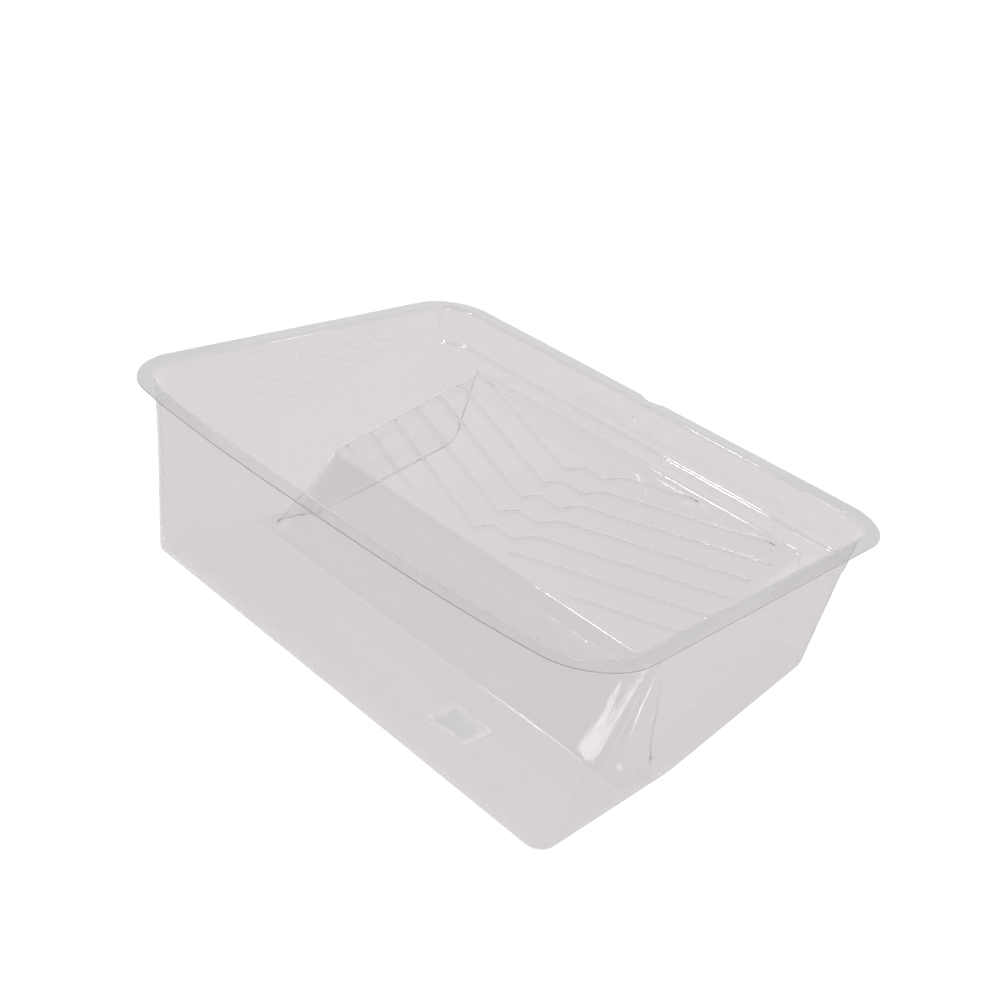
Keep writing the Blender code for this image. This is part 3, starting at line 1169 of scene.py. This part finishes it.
@dataclass(frozen=True)
class FrostedEdge(Finish):
    """The sheet's cut edge: pale, finely torn and half clear.

    Attributes:
        name: Name of the material.
        colour: Its colour.
        grain: Features of the torn surface for each metre.
        tear: Height of those features.
        roughness: Least roughness.
        cover: Least share of the light that the edge stops.
        spread: How much more rough and more dense the roughest place is.
    """

    name: str
    colour: Colour = (0.80, 0.79, 0.77)
    grain: float = 2500.0
    tear: float = 0.00004
    roughness: float = 0.3
    cover: float = 0.45
    spread: float = 0.3

    def material(self) -> bpy.types.Material:
        """Make the frosted edge.

        Returns:
            The material.
        """
        made = bpy.data.materials.new(self.name)
        board = Board(made)
        torn = board.noise(board.place(), self.grain, 2.0)
        film = board.add("ShaderNodeBsdfPrincipled", {}, {
            "Base Color": (*self.colour, 1.0),
            "Roughness": torn * self.spread + self.roughness,
            "Alpha": torn * self.spread + self.cover,
            "Normal": board.bump(torn, self.tear),
        })
        board.surface(board.wire(film))
        return made


@dataclass(frozen=True)
class LabelFilm(Finish):
    """Translucent adhesive film with a greyer printed patch and a paler border.

    Attributes:
        name: Name of the material.
        middle: Middle of the label.
        size: Its size.
        border: Colour of the border.
        patch: Colour of the patch.
        patch_edge: Where the patch fades out, as shares of the half length and half width.
        shine: Least roughness.
        grain: How much rougher the fibres are.
        fibre_scale: Features of the fibres for each metre.
        fibre_height: Their height.
        cover: How dense the film is.
        patch_cover: How much denser the patch is.
    """

    name: str
    middle: Vector
    size: Vector
    border: Colour = (0.92, 0.90, 0.90)
    patch: Colour = (0.80, 0.83, 0.82)
    patch_edge: Span = (0.62, 0.80)
    shine: float = 0.35
    grain: float = 0.2
    fibre_scale: float = 900.0
    fibre_height: float = 0.00002
    cover: float = 0.35
    patch_cover: float = 0.15

    def material(self) -> bpy.types.Material:
        """Make the label film.

        Returns:
            The material.
        """
        made = bpy.data.materials.new(self.name)
        board = Board(made)
        at = board.place()
        mapped = board.add("ShaderNodeMapping", {"vector_type": "TEXTURE"}, {
            "Vector": at, "Location": tuple(self.middle), "Scale": (self.size.x / 2, self.size.y / 2, 1.0),
        })
        split = board.add("ShaderNodeSeparateXYZ", {}, {"Vector": board.wire(mapped)})
        inside = 1.0
        for axis in ("X", "Y"):
            inside = (1.0 - abs(board.wire(split, axis)).eased(*self.patch_edge)) * inside
        fibre = board.noise(at, self.fibre_scale, 3.0)
        film = board.add("ShaderNodeBsdfPrincipled", {}, {
            "Base Color": board.mixed(inside, self.border, self.patch),
            "Roughness": fibre * self.grain + self.shine,
            "Alpha": inside * self.patch_cover + self.cover,
            "Normal": board.bump(fibre, self.fibre_height),
        })
        board.surface(board.wire(film))
        return made


# --- Studio -------------------------------------------------------------------------------------------------


@dataclass(frozen=True)
class Softbox:
    """One square soft lamp that points at the liner.

    Attributes:
        name: Name of the lamp.
        place: Where it hangs.
        size: Length of its side.
        watts: Its power.
        colour: Colour of its light.
    """

    name: str
    place: Vector
    size: float
    watts: float
    colour: Colour = (1.0, 1.0, 1.0)

    def add(self, target: Vector) -> None:
        """Hang the lamp, facing a target."""
        lamp = bpy.data.lights.new(self.name, "AREA")
        lamp.color = self.colour
        lamp.shape = "SQUARE"
        lamp.size = self.size
        lamp.energy = self.watts
        item = bpy.data.objects.new(self.name, lamp)
        item.location = self.place
        item.rotation_euler = (target - self.place).to_track_quat("-Z", "Y").to_euler()
        bpy.context.scene.collection.objects.link(item)


@dataclass(frozen=True)
class Studio:
    """Plain pale floor, soft lamps, surroundings and camera.

    Floor and surroundings are white to look at. A clear sheet shows on white only by what it mirrors, so both
    are dimmer to the rays that come off the sheet.

    Attributes:
        aim: Point that the camera and the lamps face.
        azimuth: Camera's turn to the right of the front, in degrees.
        elevation: Camera's height over the horizon, in degrees.
        roll: Camera's turn about its own axis, in degrees.
        distance: Camera's distance from the aim.
        lens: Focal length in millimetres.
        sensor: Sensor width in millimetres.
        floor_half: Half the floor's side.
        floor_drop: How far the floor lies under the liner.
        glow: Brightness of floor and surroundings.
        floor_dim: Brightness of the open floor in reflections.
        lit_front: How far in front of the middle the open floor starts.
        lit_right: How far to the right of the middle it starts.
        lit_fade: How softly it starts.
        dim: Brightness of the room's back in reflections.
        front_dim: Brightness of its front in reflections.
        room_turn: Heading between which the front turns into the back.
        aloft: Height between which the dimmer upper room sets in.
        left_gain: How much brighter the upper left is.
        left_side: Heading between which the left sets in.
        left_height: Height between which it does.
    """

    aim: Vector
    azimuth: float = 36.42
    elevation: float = 27.53
    roll: float = 13.41
    distance: float = 0.800
    lens: float = 47.13
    sensor: float = 36.0
    floor_half: float = 12.0
    floor_drop: float = 0.0006
    glow: float = 1.03
    floor_dim: float = 0.62
    lit_front: float = 0.120
    lit_right: float = 0.165
    lit_fade: float = 0.020
    dim: float = 0.625
    front_dim: float = 0.175
    room_turn: Span = (-0.55, 0.45)
    aloft: Span = (0.25, 0.42)
    left_gain: float = 0.28
    left_side: Span = (0.40, 0.65)
    left_height: Span = (0.55, 0.70)

    def add_floor(self) -> None:
        """Lay the pale floor just under the liner."""
        bm = bmesh.new()
        bmesh.ops.create_grid(bm, x_segments=1, y_segments=1, size=self.floor_half)
        bmesh.ops.translate(bm, verts=bm.verts, vec=(0, 0, -self.floor_drop))
        made = bpy.data.materials.new("pale_floor")
        board = Board(made)
        reflected = board.wire(board.add("ShaderNodeLightPath"), "Is Reflection Ray")
        axes = board.add("ShaderNodeSeparateXYZ", {}, {"Vector": board.place()})
        ahead = (0.0 - board.wire(axes, "Y")).eased(self.lit_front, self.lit_front + self.lit_fade)
        aside = board.wire(axes, "X").eased(self.lit_right, self.lit_right + self.lit_fade)
        dimmed = 1.0 - (1.0 - ahead) * (1.0 - aside)
        strength = reflected * dimmed * (self.floor_dim - self.glow) + self.glow
        board.surface(board.wire(board.add("ShaderNodeEmission", {}, {"Strength": strength})))
        mesh_object("studio_floor", bm, [made])

    def add_surroundings(self) -> None:
        """Make the room white to look at, dimmer to rays off the sheet, and dimmest towards its front."""
        world = bpy.data.worlds.new("studio")
        board = Board(world)
        path = board.add("ShaderNodeLightPath")
        reflected = board.wire(path, "Is Reflection Ray")
        unseen = 1.0 - board.wire(path, "Is Camera Ray")
        direction = board.wire(board.add("ShaderNodeTexCoord"), "Generated")
        axes = board.add("ShaderNodeSeparateXYZ", {}, {"Vector": direction})
        height = board.wire(axes, "Z")
        left_glow = (0.0 - board.wire(axes, "X")).eased(*self.left_side) * height.eased(*self.left_height)
        room = board.wire(axes, "Y").eased(*self.room_turn) * (self.dim - self.front_dim) + self.front_dim
        room = left_glow * self.left_gain + room
        aloft = height.eased(*self.aloft) * unseen
        shaded = reflected + (1.0 - reflected) * aloft
        strength = shaded * (room - self.glow) + self.glow
        white = {"Color": (1.0, 1.0, 1.0, 1.0), "Strength": strength}
        board.surface(board.wire(board.add("ShaderNodeBackground", {}, white)))
        bpy.context.scene.world = world

    def add_camera(self) -> None:
        """Set the camera at its viewing angle."""
        lens = bpy.data.cameras.new("camera")
        lens.lens = self.lens
        lens.sensor_width = self.sensor
        camera = bpy.data.objects.new("camera", lens)
        turn, lift = math.radians(self.azimuth), math.radians(self.elevation)
        back = Vector((math.sin(turn) * math.cos(lift), -math.cos(turn) * math.cos(lift), math.sin(lift)))
        aimed = (-back).to_track_quat("-Z", "Y").to_matrix().to_4x4()
        camera.matrix_world = (
            Matrix.Translation(self.aim + back * self.distance)
            @ aimed @ Matrix.Rotation(math.radians(self.roll), 4, "Z")
        )
        bpy.context.scene.collection.objects.link(camera)
        bpy.context.scene.camera = camera

    def add_lamps(self) -> None:
        """Hang the soft lamps."""
        for lamp in (
            Softbox("back_softbox", Vector((-1.0, 1.3, 1.0)), size=1.2, watts=0.7),
            Softbox("rim_spark", Vector((0.95, -0.35, 1.3)), size=0.12, watts=4.0),
            Softbox("side_softbox", Vector((0.88, 1.0, 0.95)), size=0.12, watts=0.5),
            Softbox("corner_strip", Vector((1.40, -0.50, 0.60)), size=0.28, watts=5.0),
            Softbox("ledge_strip", Vector((-0.57, -0.69, 1.25)), size=0.20, watts=3.0),
            Softbox("corner_softbox", Vector((-0.165, -1.00, 0.56)), size=0.29, watts=1.5,
                    colour=(0.92, 1.0, 0.98)),
            Softbox("low_spark", Vector((0.60, 1.50, 0.35)), size=0.14, watts=4.0),
        ):
            lamp.add(self.aim)

    def build(self) -> None:
        """Build the whole studio."""
        bpy.context.scene.view_settings.view_transform = "Standard"
        self.add_floor()
        self.add_surroundings()
        self.add_lamps()
        self.add_camera()


# --- Putting it together ------------------------------------------------------------------------------------


def main() -> None:
    """Load the frame, build each piece and the studio, and note the sizes."""
    logging.basicConfig(level=logging.INFO, format="%(name)s: %(message)s")
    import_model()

    low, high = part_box("tray_shell")
    relaxing = Relaxing()
    tub = Tub(length=high.x - low.x, width=high.y - low.y - relaxing.bow, height=high.z - Tub.sheet)
    liner = LinerShell(tub, Ramp(), RibPattern(), relaxing, shift_y=high.y - tub.width)
    shell = liner.build({
        Stuff.SHEET: ClearPlastic("clear_sheet", tint=(0.450, 0.408, 0.426)),
        Stuff.CUT_EDGE: FrostedEdge("sheet_cut_edge"),
        # Darker copy of the sheet on the rim and flange: painted shade.
        Stuff.RIM: ClearPlastic("rim_painted_shade_sheet", tint=(0.430, 0.402, 0.412)),
        # Darker copy of the sheet on the ribs: painted shade.
        Stuff.RIBS: ClearPlastic("rib_painted_shade_sheet", tint=(0.424, 0.382, 0.400)),
        # Darker copy of the sheet on the steep front face: painted shade.
        Stuff.STEEP_FACE: ClearPlastic(
            "steep_face_painted_shade_sheet", tint=(0.432, 0.390, 0.409), clear=(0.955, 0.945, 0.950),
        ),
    })
    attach(shell, BODY)
    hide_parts("tray_shell")
    LOG.info("%s: %d faces", shell.name, len(shell.data.polygons))

    low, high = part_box("floor_label")
    film = LabelFilm("label_film", (low + high) / 2, high - low)
    label = FloorLabel(low, high).build(film)
    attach(label, BODY)
    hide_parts("floor_label")
    LOG.info("%s: %d faces", label.name, len(label.data.polygons))

    Studio(aim=Vector((0.022, -0.020, 0.1146))).build()


if __name__ == "__main__":
    main()
